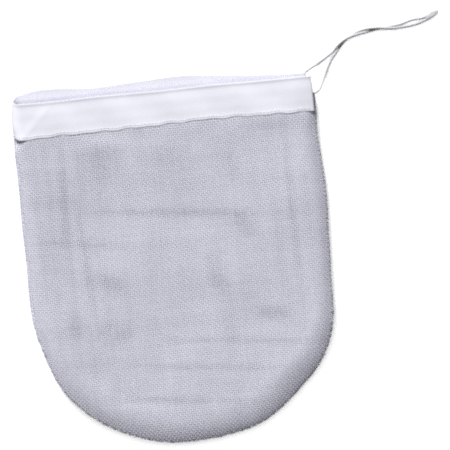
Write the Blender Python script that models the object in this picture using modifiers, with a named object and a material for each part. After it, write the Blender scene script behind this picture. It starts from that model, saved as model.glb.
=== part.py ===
"""A drawstring produce bag of plain-woven net, laid flat with its cord run out beside it.

Two net panels are sewn together round a U-shaped edge, with the raw edges turned inside. A
hem, folded into a flat tunnel, runs round the mouth from a slit in the right-hand side seam,
and one cord lies in it: both of its ends leave through the slit and end in one fused tip.

Metres, +Z up. The bag lies on its rear panel on z = 0. The mouth faces +Y and the cord leaves
towards +X. The origin is under the middle of the bag, the cord not counted.
"""
import math

import bmesh
import bpy
from mathutils import Vector

# The bag as it lies
BAG_WIDTH = 0.254
BAG_LENGTH = 0.304
BAG_HEIGHT = 0.016
ROUND_LENGTH = 0.1136       # the part of the length that the round bottom takes
ROUND_POWER = 2.08          # 2 is an ellipse, more is a squarer bottom
EDGE_ROUNDING = 0.012       # how far in from the edge a panel becomes flat
CLOTH = 0.0008              # a wall of net, slack threads included

# The hem round the mouth
HEM_DEPTH = 0.029
HEM_THICKNESS = 0.005
HEM_DROP = 0.011            # the front lip lies this far below the rear one
FRONT_END_X = 0.1255        # where the front run of the tunnel ends, at the slit
REAR_END_X = 0.1185
END_LENGTH = 0.021          # how far before its end each run bends towards the side seam
FRONT_END_SINK = 0.0027
REAR_END_RISE = 0.0022

# Sewing
SEAM_GAP = 0.0008           # between the two panels' edges, for the sewing thread
THREAD = 0.0005
HEM_THREAD = 0.0007
CLEARANCE = 0.0004
REST_GAP = 0.0002           # between a cord and the table
CORD_JOINT_GAP = 0.0003     # between the cased cord and each free leg
OVERLOCK_WIDTH = 0.005
OVERLOCK_THICKNESS = 0.001
TACK_WIDTH = 0.005
TACK_HEIGHT = 0.005
TACK_INSET = 0.002

# The drawstring
CORD = 0.002
CORD_SPACING = 0.0045       # between the points of a free cord
CASED_SPACING = 0.008       # between the points of the cord inside the hem
STRAND_OFFSET = 0.00122     # of each strand from the middle of the twisted pair
EYE_OFFSET = 0.0022         # of each strand where the pair opens near its end
TWIST_PITCH = 0.030
EYE_LENGTH = 0.024
TIP_LENGTH = 0.012
TIP_WIDTH = 0.0044
TIP_HEIGHT = 0.0021

# Worked out from these
HALF_WIDTH = BAG_WIDTH / 2
REAR_TOP = BAG_LENGTH / 2
FRONT_TOP = REAR_TOP - HEM_DROP
ROUND_START = ROUND_LENGTH - BAG_LENGTH / 2
SEAM_Z = BAG_HEIGHT / 2
FRONT_HEM_Z = BAG_HEIGHT - HEM_THICKNESS / 2
REAR_HEM_Z = HEM_THICKNESS / 2
FRONT_HEM_Y = FRONT_TOP - HEM_DEPTH / 2
REAR_HEM_Y = REAR_TOP - HEM_DEPTH / 2
STITCH_SPACE = HEM_THREAD + 2 * CLEARANCE
FRONT_PANEL_TOP = FRONT_TOP - HEM_DEPTH - STITCH_SPACE
REAR_PANEL_TOP = REAR_TOP - HEM_DEPTH - STITCH_SPACE
TURN_RADIUS = (FRONT_HEM_Z - REAR_HEM_Z) / 2
TURN_X = TURN_RADIUS + HEM_THICKNESS / 2 - HALF_WIDTH

# The cord's route, in its order along the cord. The middle of the twisted pair:
PAIR_ROUTE = [
    (0.1475, 0.1596),
    (0.1529, 0.1654),
    (0.1600, 0.1704),
    (0.1700, 0.1738),
    (0.1834, 0.1755),
    (0.2009, 0.1755),
    (0.2135, 0.1775),
    (0.2251, 0.1796),
    (0.2306, 0.1826),
    (0.2373, 0.1855),
]
# Each leg from the slit to the pair:
FRONT_LEG_ROUTE = [
    (0.1262, 0.1262, 0.0108),
    (0.1282, 0.1266, 0.0106),
    (0.1308, 0.1286, 0.0093),
    (0.1335, 0.1326, 0.0066),
    (0.1366, 0.1394, 0.0036),
    (0.1402, 0.1470, 0.0018),
    (0.1440, 0.1535, 0.0013),
]
REAR_LEG_ROUTE = [
    (0.1203, 0.1446, 0.0046),
    (0.1225, 0.1458, 0.0045),
    (0.1255, 0.1475, 0.0038),
    (0.1310, 0.1506, 0.0022),
    (0.1375, 0.1544, 0.0013),
    (0.1425, 0.1575, 0.0013),
]


def clear_scene():
    for obj in list(bpy.data.objects):
        bpy.data.objects.remove(obj, do_unlink=True)


def make_collection(name):
    collection = bpy.data.collections.new(name)
    bpy.context.scene.collection.children.link(collection)
    return collection


def make_material(name, colour, roughness):
    material = bpy.data.materials.new(name)
    material.use_nodes = True
    shader = material.node_tree.nodes["Principled BSDF"]
    shader.inputs["Base Color"].default_value = (*colour, 1.0)
    shader.inputs["Roughness"].default_value = roughness
    shader.inputs["Metallic"].default_value = 0.0
    return material


def add_part(name, data, material):
    """Put a mesh or curve in the bag's collection as one named part."""
    data.name = name
    data.materials.append(material)
    part = bpy.data.objects.new(name, data)
    bag.objects.link(part)
    return part


def add_mesh_part(name, bm, material):
    mesh = bpy.data.meshes.new(name)
    bm.to_mesh(mesh)
    bm.free()
    return add_part(name, mesh, material)


def add_cloth(part, thickness, offset):
    """Give an open surface its thickness: offset -1 grows inwards, 0 both ways."""
    solidify = part.modifiers.new("cloth", "SOLIDIFY")
    solidify.thickness = thickness
    solidify.offset = offset
    solidify.use_even_offset = True


# The bag's outline ---------------------------------------------------------------------------

def outline_point(angle):
    """A point of the round bottom, from its right end (0) to its left end (pi)."""
    across = math.cos(angle)
    x = HALF_WIDTH * math.copysign(abs(across) ** (2 / ROUND_POWER), across)
    y = ROUND_START - ROUND_LENGTH * abs(math.sin(angle)) ** (2 / ROUND_POWER)
    return x, y


def outline(top, steps=44):
    """The bag's outline seen from above, clockwise from the top right corner."""
    bottom = [outline_point(math.pi * i / steps) for i in range(steps + 1)]
    return [(HALF_WIDTH, top), *bottom, (-HALF_WIDTH, top)]


def outline_face(z, facing_up):
    """A flat face of the whole outline, running past the mouth so that it can be cut there."""
    bm = bmesh.new()
    points = outline(REAR_TOP + 4 * EDGE_ROUNDING)
    if facing_up:
        points.reverse()
    bm.faces.new([bm.verts.new((x, y, z)) for x, y in points])
    return bm


def middle_face(bm):
    return max(bm.faces, key=lambda face: face.calc_area())


def inset(bm, distance, rise=0.0):
    """Shrink the middle face and move it by rise in z; returns the ring left round it."""
    bm.normal_update()
    middle = middle_face(bm)
    ring = bmesh.ops.inset_region(
        bm, faces=[middle], thickness=distance, use_boundary=True, use_even_offset=True
    )
    bmesh.ops.translate(bm, vec=(0, 0, rise), verts=middle.verts)
    return ring["faces"]


def cut_at_mouth(bm, y):
    everything = [*bm.verts, *bm.edges, *bm.faces]
    bmesh.ops.bisect_plane(
        bm, geom=everything, plane_co=(0, y, 0), plane_no=(0, 1, 0), clear_outer=True
    )


# The net panels --------------------------------------------------------------------------------

def make_panel(name, facing_up, top, material, steps=4):
    """A panel is a shallow dish: its edge stands at the seam and rounds into the flat middle."""
    side = 1 if facing_up else -1
    edge_z = SEAM_Z + side * SEAM_GAP / 2
    rise = (BAG_HEIGHT - SEAM_GAP) / 2
    bm = outline_face(edge_z, facing_up)
    for step in range(steps):
        start = math.pi / 2 * step / steps
        end = math.pi / 2 * (step + 1) / steps
        inwards = EDGE_ROUNDING * (math.cos(start) - math.cos(end))
        upwards = rise * (math.sin(end) - math.sin(start))
        inset(bm, inwards, side * upwards)
    cut_at_mouth(bm, top)
    panel = add_mesh_part(name, bm, material)
    add_cloth(panel, CLOTH, -1)
    return panel


# The hem ---------------------------------------------------------------------------------------

def slot_section(steps=6):
    """The tunnel's section: a flat slot with round ends, as (along Y, along the normal)."""
    radius = HEM_THICKNESS / 2
    reach = HEM_DEPTH / 2 - radius
    points = []
    for side in (1, -1):
        for step in range(steps + 1):
            angle = math.pi * (step / steps - 0.5)
            along = side * (reach + radius * math.cos(angle))
            points.append((along, side * radius * math.sin(angle)))
    return points


def smooth_step(share):
    share = max(0.0, min(1.0, share))
    return share * share * (3 - 2 * share)


def front_run(x):
    """The middle of the tunnel's front run: it sinks to the side seam at its right end."""
    sunk = smooth_step((x - FRONT_END_X) / END_LENGTH + 1)
    return (x, FRONT_HEM_Y, FRONT_HEM_Z - FRONT_END_SINK * sunk)


def rear_run(x):
    raised = smooth_step((x - REAR_END_X) / END_LENGTH + 1)
    return (x, REAR_HEM_Y, REAR_HEM_Z + REAR_END_RISE * raised)


def left_turn(steps=10):
    """The tunnel's middle line round the left end of the mouth, with its outward normal."""
    stations = []
    for step in range(steps + 1):
        angle = math.pi * step / steps
        normal = (-math.sin(angle), 0, math.cos(angle))
        y = FRONT_HEM_Y + HEM_DROP * smooth_step(2 * step / steps)
        x = TURN_X + TURN_RADIUS * normal[0]
        z = SEAM_Z + TURN_RADIUS * normal[2]
        stations.append(((x, y, z), normal))
    return stations


def hem_stations(end_steps=5):
    """The tunnel's middle line: the front run, the left turn and the rear run."""
    steps = [END_LENGTH * step / end_steps for step in range(end_steps + 1)]
    front = [(front_run(FRONT_END_X - back), (0, 0, 1)) for back in steps]
    rear = [(rear_run(REAR_END_X - back), (0, 0, -1)) for back in reversed(steps)]
    return [*front, *left_turn(), *rear]


def make_hem(name, material):
    """The hem is a flat tunnel, open at both ends, lofted round the left side of the mouth."""
    bm = bmesh.new()
    rings = []
    for centre, normal in hem_stations():
        place = Vector(centre)
        out = Vector(normal)
        ring = [
            bm.verts.new(place + Vector((0, along, 0)) + out * off)
            for along, off in slot_section()
        ]
        rings.append(ring)
    for first, second in zip(rings, rings[1:]):
        count = len(first)
        for i in range(count):
            j = (i + 1) % count
            bm.faces.new((first[i], first[j], second[j], second[i]))
    bmesh.ops.recalc_face_normals(bm, faces=bm.faces)
    hem = add_mesh_part(name, bm, material)
    add_cloth(hem, CLOTH, -1)
    return hem


# Sewing ----------------------------------------------------------------------------------------

def make_tube(name, points, diameter, material):
    """A round thread or cord through the points, with closed ends."""
    curve = bpy.data.curves.new(name, "CURVE")
    curve.dimensions = "3D"
    curve.bevel_depth = diameter / 2
    curve.bevel_resolution = 2
    curve.use_fill_caps = True
    spline = curve.splines.new("POLY")
    spline.points.add(len(points) - 1)
    for point, place in zip(spline.points, points):
        point.co = (*place, 1.0)
    return add_part(name, curve, material)


def make_overlock(name, material):
    """The band of thread that binds both raw edges, inside the bag along its edge."""
    bm = outline_face(SEAM_Z, True)
    outside = inset(bm, CLOTH + 2 * CLEARANCE + THREAD + CLEARANCE)
    bmesh.ops.delete(bm, geom=outside, context="FACES")
    inset(bm, OVERLOCK_WIDTH)
    bmesh.ops.delete(bm, geom=[middle_face(bm)], context="FACES")
    cut_at_mouth(bm, FRONT_PANEL_TOP)
    band = add_mesh_part(name, bm, material)
    add_cloth(band, OVERLOCK_THICKNESS, 0)
    return band


def make_seam_thread(name, material):
    """The lockstitch that joins the two panels, between their edges and the overlock."""
    bm = outline_face(SEAM_Z, True)
    inset(bm, CLOTH + CLEARANCE + THREAD / 2)
    cut_at_mouth(bm, FRONT_PANEL_TOP)
    points = [vert.co.copy() for vert in middle_face(bm).verts]
    bm.free()
    top = max(point.y for point in points)
    start = max(range(len(points)), key=lambda i: (points[i].y > top - THREAD, points[i].x))
    points = points[start:] + points[:start]
    if points[1].y > top - THREAD:
        points = points[1:] + points[:1]
    return make_tube(name, points, THREAD, material)


def make_hem_thread(name, y, z, right, material):
    """The row of stitches that closes the tunnel along its lower edge."""
    left = -HALF_WIDTH + EDGE_ROUNDING
    return make_tube(name, [(left, y, z), (right, y, z)], HEM_THREAD, material)


def make_tack(name, side, material):
    """The bar of stitches that stops the side seam just below the hem."""
    bm = bmesh.new()
    bmesh.ops.create_cube(bm, size=1.0)
    size = Vector((TACK_WIDTH, STITCH_SPACE - 2 * CLEARANCE, TACK_HEIGHT))
    x = side * (HALF_WIDTH - TACK_INSET - TACK_WIDTH / 2)
    y = FRONT_PANEL_TOP + STITCH_SPACE / 2
    bmesh.ops.scale(bm, vec=size, verts=bm.verts)
    bmesh.ops.translate(bm, vec=(x, y, SEAM_Z), verts=bm.verts)
    return add_mesh_part(name, bm, material)


# The drawstring ----------------------------------------------------------------------------------

def smooth_line(route, spacing):
    """Even points on a smooth curve through the route's points."""
    points = [Vector(point) for point in route]
    points = [2 * points[0] - points[1], *points, 2 * points[-1] - points[-2]]
    fine = []
    for a, b, c, d in zip(points, points[1:], points[2:], points[3:]):
        for step in range(24):
            t = step / 24
            fine.append(
                0.5 * (2 * b + (c - a) * t + (2 * a - 5 * b + 4 * c - d) * t * t
                       + (3 * b - a - 3 * c + d) * t * t * t)
            )
    fine.append(points[-2])
    travelled = [0.0]
    for a, b in zip(fine, fine[1:]):
        travelled.append(travelled[-1] + (b - a).length)
    count = max(2, round(travelled[-1] / spacing))
    even = []
    index = 0
    for step in range(count + 1):
        wanted = travelled[-1] * step / count
        while index < len(fine) - 2 and travelled[index + 1] < wanted:
            index += 1
        share = (wanted - travelled[index]) / (travelled[index + 1] - travelled[index])
        even.append(fine[index].lerp(fine[index + 1], min(1.0, share)))
    return even


def bump(value, start, middle, end):
    """0 before start and after end, 1 at the middle, smooth between."""
    if value <= start or value >= end:
        return 0.0
    near = start if value < middle else end
    share = (value - near) / (middle - near)
    return share * share * (3 - 2 * share)


def pair_line():
    """The middle line of the twisted pair as points a millimetre apart, and its length."""
    points = smooth_line([(x, y, 0.0) for x, y in PAIR_ROUTE], 0.001)
    length = sum((b - a).length for a, b in zip(points, points[1:]))
    return points, length


def place_on(points, share):
    """The place and the direction on an even line, share going from 0 to 1 along it."""
    position = share * (len(points) - 1)
    index = min(int(position), len(points) - 2)
    step = points[index + 1] - points[index]
    return points[index] + step * (position - index), step.normalized()


def strand_route(side, steps=22):
    """One strand of the pair: it winds round the middle line, then opens into the eye."""
    points, length = pair_line()
    end = length - TIP_LENGTH - CORD_JOINT_GAP
    eye = end - EYE_LENGTH / 2
    twisted = end - EYE_LENGTH
    half_turns = round(2 * twisted / TWIST_PITCH)
    route = []
    for step in range(steps + 1):
        along = end * step / steps
        place, direction = place_on(points, along / length)
        angle = math.pi * half_turns * min(1.0, along / twisted)
        opened = bump(along, twisted, eye, end)
        offset = STRAND_OFFSET + (EYE_OFFSET - STRAND_OFFSET) * opened
        left = Vector((-direction.y, direction.x, 0.0))
        across = side * offset * math.cos(angle)
        height = CORD / 2 + REST_GAP + STRAND_OFFSET * abs(math.sin(angle)) ** 1.5
        height += side * offset * math.sin(angle)
        route.append(place + left * across + Vector((0, 0, height)))
    return route


def leg_points(route, side):
    return smooth_line([*route, *strand_route(side)], CORD_SPACING)


def leg_root(route):
    """The last of the cased cord behind a leg: square to the leg's end, a joint's gap away."""
    start = Vector(route[0])
    back = (start - Vector(route[1])).normalized()
    return [start + back * CORD_JOINT_GAP, start + back * 4 * CORD]


def cased_points():
    """The cord inside the hem: along the front run, round the left turn and along the rear."""
    turn = [place for place, normal in left_turn()]
    front_route = leg_root(FRONT_LEG_ROUTE)
    front_route += [front_run(x) for x in (0.108, 0.10, 0.04, -0.02, -0.08)]
    rear_route = [rear_run(x) for x in (-0.08, -0.02, 0.04, 0.088, 0.10)]
    rear_route += reversed(leg_root(REAR_LEG_ROUTE))
    front = smooth_line([*front_route, turn[0]], CASED_SPACING)
    rear = smooth_line([turn[-1], *rear_route], CASED_SPACING)
    return [*front, *turn[1:-1], *rear]


def make_tip(name, material):
    """The fused ends: a short flat cone in line with the last of the pair."""
    points, length = pair_line()
    near, direction = place_on(points, 1 - TIP_LENGTH / length)
    far = points[-1]
    heading = far - near
    bm = bmesh.new()
    bmesh.ops.create_cone(
        bm, cap_ends=True, segments=16, radius1=0.5, radius2=0.2, depth=heading.length
    )
    bmesh.ops.scale(bm, vec=(TIP_WIDTH, TIP_HEIGHT, 1.0), verts=bm.verts)
    turn = Vector((heading.x, heading.y, 0)).to_track_quat("Z", "Y").to_matrix()
    bmesh.ops.rotate(bm, cent=(0, 0, 0), matrix=turn, verts=bm.verts)
    centre = (near + far) / 2 + Vector((0, 0, TIP_HEIGHT / 2 + REST_GAP))
    bmesh.ops.translate(bm, vec=centre, verts=bm.verts)
    return add_mesh_part(name, bm, material)


clear_scene()
bag = make_collection("mesh_produce_bag")
net = make_material("net", (0.55, 0.54, 0.63), 0.75)
hem_cloth = make_material("hem_cloth", (0.80, 0.80, 0.89), 0.7)
sewing_thread = make_material("sewing_thread", (0.86, 0.86, 0.92), 0.6)
cord_weave = make_material("cord_weave", (0.88, 0.88, 0.90), 0.65)
fused_end = make_material("fused_end", (0.72, 0.72, 0.75), 0.4)

make_panel("front_panel", True, FRONT_PANEL_TOP, net)
make_panel("rear_panel", False, REAR_PANEL_TOP, net)
make_hem("hem_casing", hem_cloth)
make_overlock("seam_overlock", sewing_thread)
make_seam_thread("seam_stitching", sewing_thread)
front_thread_y = FRONT_PANEL_TOP + STITCH_SPACE / 2
rear_thread_y = REAR_PANEL_TOP + STITCH_SPACE / 2
front_thread_z = BAG_HEIGHT - HEM_THREAD / 2
rear_thread_z = HEM_THREAD / 2
make_hem_thread("front_hem_stitching", front_thread_y, front_thread_z, 0.118, sewing_thread)
make_hem_thread("rear_hem_stitching", rear_thread_y, rear_thread_z, 0.114, sewing_thread)
make_tack("slit_bar_tack", 1, sewing_thread)
make_tack("left_bar_tack", -1, sewing_thread)

make_tube("drawstring_in_hem", cased_points(), CORD, cord_weave)
make_tube("drawstring_front_leg", leg_points(FRONT_LEG_ROUTE, -1), CORD, cord_weave)
make_tube("drawstring_rear_leg", leg_points(REAR_LEG_ROUTE, 1), CORD, cord_weave)
make_tip("drawstring_tip", fused_end)
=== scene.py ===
# %% [markdown]
# # A woven mesh drawstring bag
# This lesson dresses a plain CAD model of a drawstring bag. The bag is two panels of open
# plain weave sewn round a U-shaped edge, a folded hem that runs round the mouth as a tunnel,
# and one cord through the tunnel. The CAD model fixes the bag's size and place. Here each soft
# solid is replaced by real threads, folded cloth and twisted cord, laid where the solids are.
# Only the two free legs differ a little: they turn about each other less often.

# %% Load the frame
import math

import bpy
import numpy as np
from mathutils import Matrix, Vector


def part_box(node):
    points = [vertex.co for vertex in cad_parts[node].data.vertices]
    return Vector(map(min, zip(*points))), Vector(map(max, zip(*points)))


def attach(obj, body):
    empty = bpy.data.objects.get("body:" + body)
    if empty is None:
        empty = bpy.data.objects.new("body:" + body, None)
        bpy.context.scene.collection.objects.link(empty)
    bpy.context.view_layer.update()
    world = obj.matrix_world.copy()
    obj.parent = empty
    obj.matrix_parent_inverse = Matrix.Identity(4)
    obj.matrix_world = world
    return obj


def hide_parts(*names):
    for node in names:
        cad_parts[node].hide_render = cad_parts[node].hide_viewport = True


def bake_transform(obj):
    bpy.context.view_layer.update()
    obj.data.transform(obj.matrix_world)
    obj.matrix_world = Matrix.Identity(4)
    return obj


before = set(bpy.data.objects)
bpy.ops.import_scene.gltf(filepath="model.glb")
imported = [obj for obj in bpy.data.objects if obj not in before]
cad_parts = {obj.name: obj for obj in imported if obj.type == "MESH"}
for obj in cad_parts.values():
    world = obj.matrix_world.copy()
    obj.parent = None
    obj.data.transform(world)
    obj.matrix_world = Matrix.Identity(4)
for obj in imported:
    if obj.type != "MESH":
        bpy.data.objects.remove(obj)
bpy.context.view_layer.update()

# %% [markdown]
# ## Sizes
# The bag's width, length and height come from the CAD nodes' boxes, so the cloth fits the
# frame. What the boxes don't show, such as the hem's depth, the curve of the bottom and the
# weave's pitch, is stated here.

# %% Read the sizes from the frame
MM = 0.001
panel_low, panel_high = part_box("front_panel")
hem_low, hem_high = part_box("hem_casing")
HALF_WIDTH = panel_high[0]
BAG_BOTTOM = panel_low[1]
BAG_HEIGHT = panel_high[2]
SEAM_Z = BAG_HEIGHT / 2
HEM_LOW_Y = hem_low[1]
HEM_TOP_Y = hem_high[1]
HEM_DEPTH = 29 * MM
FRONT_LIP_Y = HEM_LOW_Y + HEM_DEPTH
ROUND_LENGTH = 113.6 * MM
ROUND_POWER = 2.08
ROUND_START = BAG_BOTTOM + ROUND_LENGTH
PITCH = 1.77 * MM
print(f"bag {2 * HALF_WIDTH / MM:.0f} mm wide, {(HEM_TOP_Y - BAG_BOTTOM) / MM:.0f} mm long")

# %% [markdown]
# ## Camera, light and floor
# The bag is seen from straight above with a long lens, turned a little on the table. A low
# soft sun from above the mouth makes the right and lower edges fall into shade, and a pale
# world fills the shadows. A second sun lights only the floor, so that it stays white, and the
# floor sends no light back to the bag.

# %% Place the camera
VIEW_TURN = math.radians(-5.7)
VIEW_CENTRE = Vector((41.6 * MM, 24.2 * MM, SEAM_Z))
VIEW_WIDTH = 376 * MM
LENS = 200.0
SENSOR = 36.0
camera_data = bpy.data.cameras.new("camera")
camera_data.lens = LENS
camera_data.sensor_width = SENSOR
camera = bpy.data.objects.new("camera", camera_data)
bpy.context.scene.collection.objects.link(camera)
camera.location = VIEW_CENTRE + Vector((0, 0, VIEW_WIDTH * LENS / SENSOR))
camera.rotation_euler = (0, 0, VIEW_TURN)
bpy.context.scene.camera = camera
print("camera", round(camera.location.z, 3), "m above the floor")

# %% Light the scene
def add_sun(name, strength, softness, azimuth, elevation):
    data = bpy.data.lights.new(name, "SUN")
    data.energy = strength
    data.angle = math.radians(softness)
    lamp = bpy.data.objects.new(name, data)
    bpy.context.scene.collection.objects.link(lamp)
    turn = math.radians(azimuth)
    rise = math.radians(elevation)
    towards = Vector((math.cos(turn) * math.cos(rise), math.sin(turn) * math.cos(rise), math.sin(rise)))
    lamp.rotation_euler = towards.to_track_quat("Z", "Y").to_euler()
    return lamp


add_sun("key", strength=4.9, softness=16, azimuth=106, elevation=32)
floor_light = add_sun("floor_light", strength=2.75, softness=60, azimuth=0, elevation=89)
world = bpy.data.worlds.new("studio")
bpy.context.scene.world = world
world.use_nodes = True
world.node_tree.nodes["Background"].inputs["Color"].default_value = (1.0, 1.0, 1.0, 1.0)
world.node_tree.nodes["Background"].inputs["Strength"].default_value = 0.17
bpy.context.scene.view_settings.view_transform = "Standard"
# The weave is so fine that denoising would wipe it out.
bpy.context.scene.cycles.use_denoising = False
bpy.context.scene.cycles.filter_width = 2.3

# %% Lay the floor
bpy.ops.object.select_all(action="DESELECT")
bpy.ops.mesh.primitive_plane_add(size=4.0, location=(0, 0, 0))
floor = bpy.context.active_object
floor.name = "floor"
floor_material = bpy.data.materials.new("floor")
floor_material.use_nodes = True
floor_shader = floor_material.node_tree.nodes["Principled BSDF"]
floor_shader.inputs["Base Color"].default_value = (0.98, 0.98, 0.98, 1.0)
floor_shader.inputs["Roughness"].default_value = 0.9
floor_shader.inputs["Specular IOR Level"].default_value = 0.1
floor.data.materials.append(floor_material)
floor.visible_diffuse = False
lit_floor = bpy.data.collections.new("lit_floor")
lit_floor.objects.link(floor)
floor_light.light_linking.receiver_collection = lit_floor
floor_light.light_linking.blocker_collection = bpy.data.collections.new("nothing")

# %% [markdown]
# ## Materials
# Everything here is fibre. A thread's own twist is drawn by a fine wave that follows the
# thread, through the "along" map that each thread mesh carries.

# %% Helpers for materials
def new_material(name, colour, roughness, sheen):
    material = bpy.data.materials.new(name)
    material.use_nodes = True
    shader = material.node_tree.nodes["Principled BSDF"]
    shader.inputs["Base Color"].default_value = (*colour, 1.0)
    shader.inputs["Roughness"].default_value = roughness
    shader.inputs["Sheen Weight"].default_value = sheen
    shader.inputs["Specular IOR Level"].default_value = 0.3
    return material, material.node_tree, shader


def add_node(tree, kind, **values):
    node = tree.nodes.new(kind)
    for key, value in values.items():
        if key in node.inputs:
            node.inputs[key].default_value = value
        else:
            setattr(node, key, value)
    return node


def add_bump(tree, shader, height, strength, distance):
    bump = add_node(tree, "ShaderNodeBump", Strength=strength, Distance=distance)
    tree.links.new(height, bump.inputs["Height"])
    tree.links.new(bump.outputs["Normal"], shader.inputs["Normal"])


def add_mottle(tree, shader, place, colour, shade, scale, detail):
    """Slow changes of tone between the shade and the full colour."""
    tone = add_node(tree, "ShaderNodeTexNoise", Scale=scale, Detail=detail)
    tree.links.new(place.outputs["Object"], tone.inputs["Vector"])
    mix = add_node(tree, "ShaderNodeMix", data_type="RGBA")
    mix.inputs["A"].default_value = (*shade, 1.0)
    mix.inputs["B"].default_value = (*colour, 1.0)
    tree.links.new(tone.outputs["Fac"], mix.inputs["Factor"])
    tree.links.new(mix.outputs["Result"], shader.inputs["Base Color"])


def thread_material(name, colour, shade, roughness, ply):
    """Twisted yarn: slanting plies along the thread, and slow changes of tone."""
    material, tree, shader = new_material(name, colour, roughness, 0.0)
    along = add_node(tree, "ShaderNodeUVMap", uv_map="along")
    wave = add_node(tree, "ShaderNodeTexWave", Scale=1.0)
    wave.bands_direction = "DIAGONAL"
    stretch = add_node(tree, "ShaderNodeMapping")
    stretch.inputs["Scale"].default_value = (1 / ply, 1.0, 1.0)
    tree.links.new(along.outputs["UV"], stretch.inputs["Vector"])
    tree.links.new(stretch.outputs["Vector"], wave.inputs["Vector"])
    add_bump(tree, shader, wave.outputs["Fac"], 0.25, 0.0002)
    place = add_node(tree, "ShaderNodeTexCoord")
    add_mottle(tree, shader, place, colour, shade, 45.0, 3.0)
    return material


def matt_material(name, colour, shade):
    """Dense matt fibre, for the hem, the bar tacks and the melted tip: a very fine grain and a
    slightly mottled tone."""
    material, tree, shader = new_material(name, colour, 0.8, 0.15)
    place = add_node(tree, "ShaderNodeTexCoord")
    grain = add_node(tree, "ShaderNodeTexNoise", Scale=1400.0, Detail=2.0)
    tree.links.new(place.outputs["Object"], grain.inputs["Vector"])
    add_bump(tree, shader, grain.outputs["Fac"], 0.35, 0.0003)
    add_mottle(tree, shader, place, colour, shade, 90.0, 4.0)
    return material


mesh_yarn = thread_material("mesh_yarn", (0.74, 0.735, 0.83), (0.68, 0.675, 0.77), 0.6, 0.0009)
hem_cloth = matt_material("hem_cloth", (0.88, 0.88, 0.965), (0.80, 0.80, 0.885))
sewing_thread = thread_material("sewing_thread", (0.84, 0.84, 0.90), (0.78, 0.78, 0.84), 0.5, 0.0006)
cord_yarn = thread_material("cord_yarn", (0.68, 0.68, 0.71), (0.60, 0.60, 0.63), 0.7, 0.0008)
tip_plastic = matt_material("tip_plastic", (0.70, 0.70, 0.73), (0.56, 0.56, 0.59))

# %% [markdown]
# ## Meshes of thread
# A thread is a tube whose rings follow a line. The cords, the weave and the stitches are built by
# one helper from their corner points and quads: it adds a map in metres along the thread and,
# where one is given, a map that lays the thread out for baking.

# %% Build a mesh with its maps
def mesh_piece(name, points, quads, along, bake, material):
    mesh = bpy.data.meshes.new(name)
    mesh.vertices.add(len(points))
    mesh.vertices.foreach_set("co", np.asarray(points, np.float32).ravel())
    mesh.loops.add(4 * len(quads))
    mesh.polygons.add(len(quads))
    mesh.loops.foreach_set("vertex_index", np.asarray(quads, np.int32).ravel())
    mesh.polygons.foreach_set("loop_start", np.arange(0, 4 * len(quads), 4, dtype=np.int32))
    mesh.update(calc_edges=True)
    for title, places in (("along", along), ("OFBake", bake)):
        if places is None:
            continue
        layer = mesh.uv_layers.new(name=title)
        layer.data.foreach_set("uv", np.asarray(places, np.float32).ravel())
    mesh.shade_smooth()
    mesh.materials.append(material)
    piece = bpy.data.objects.new(name, mesh)
    bpy.context.scene.collection.objects.link(piece)
    return piece


# %% [markdown]
# ## The drawstring
# The cord is 2 mm thick and limp. Its two legs leave the slit at the right-hand end of the
# hem, drop to the table, meet, and lie loosely twisted about each other up to the fused tip,
# with a small open eye just before it.

# %% The cord's route
CORD = 2.0 * MM
CORD_SPACING = 4.5 * MM
STRAND_OFFSET = 1.22 * MM
EYE_OFFSET = 2.2 * MM
EYE_LENGTH = 24 * MM
TWIST_PITCH = 70 * MM
TIP_LENGTH = 12 * MM
REST_GAP = 0.2 * MM
CORD_JOINT_GAP = 0.3 * MM
PAIR_ROUTE = [
    (0.1475, 0.1596),
    (0.1529, 0.1654),
    (0.1600, 0.1704),
    (0.1700, 0.1738),
    (0.1834, 0.1755),
    (0.2009, 0.1755),
    (0.2135, 0.1775),
    (0.2251, 0.1796),
    (0.2306, 0.1826),
    (0.2373, 0.1855),
]
FRONT_LEG_ROUTE = [
    (0.1262, 0.1262, 0.0108),
    (0.1282, 0.1266, 0.0106),
    (0.1308, 0.1286, 0.0093),
    (0.1335, 0.1326, 0.0066),
    (0.1366, 0.1394, 0.0036),
    (0.1402, 0.1470, 0.0018),
    (0.1440, 0.1535, 0.0013),
]
REAR_LEG_ROUTE = [
    (0.1203, 0.1446, 0.0046),
    (0.1225, 0.1458, 0.0045),
    (0.1255, 0.1475, 0.0038),
    (0.1310, 0.1506, 0.0022),
    (0.1375, 0.1544, 0.0013),
    (0.1425, 0.1575, 0.0013),
]


def smooth_line(route, spacing):
    """Even points on a smooth curve through the route's points."""
    points = [Vector(point) for point in route]
    points = [2 * points[0] - points[1], *points, 2 * points[-1] - points[-2]]
    fine = []
    for a, b, c, d in zip(points, points[1:], points[2:], points[3:]):
        for step in range(24):
            t = step / 24
            fine.append(
                0.5 * (2 * b + (c - a) * t + (2 * a - 5 * b + 4 * c - d) * t * t
                       + (3 * b - a - 3 * c + d) * t * t * t)
            )
    fine.append(points[-2])
    travelled = [0.0]
    for a, b in zip(fine, fine[1:]):
        travelled.append(travelled[-1] + (b - a).length)
    count = max(2, round(travelled[-1] / spacing))
    wanted = np.linspace(0, travelled[-1], count + 1)
    table = np.array(fine)
    return [Vector([np.interp(w, travelled, table[:, k]) for k in range(3)]) for w in wanted]


def smooth_step(share):
    share = np.clip(share, 0.0, 1.0)
    return share * share * (3 - 2 * share)


def place_on(points, share):
    """The point at a share of the way along a line, and the line's direction there."""
    position = share * (len(points) - 1)
    index = min(int(position), len(points) - 2)
    step = points[index + 1] - points[index]
    return points[index] + step * (position - index), step.normalized()


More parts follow.
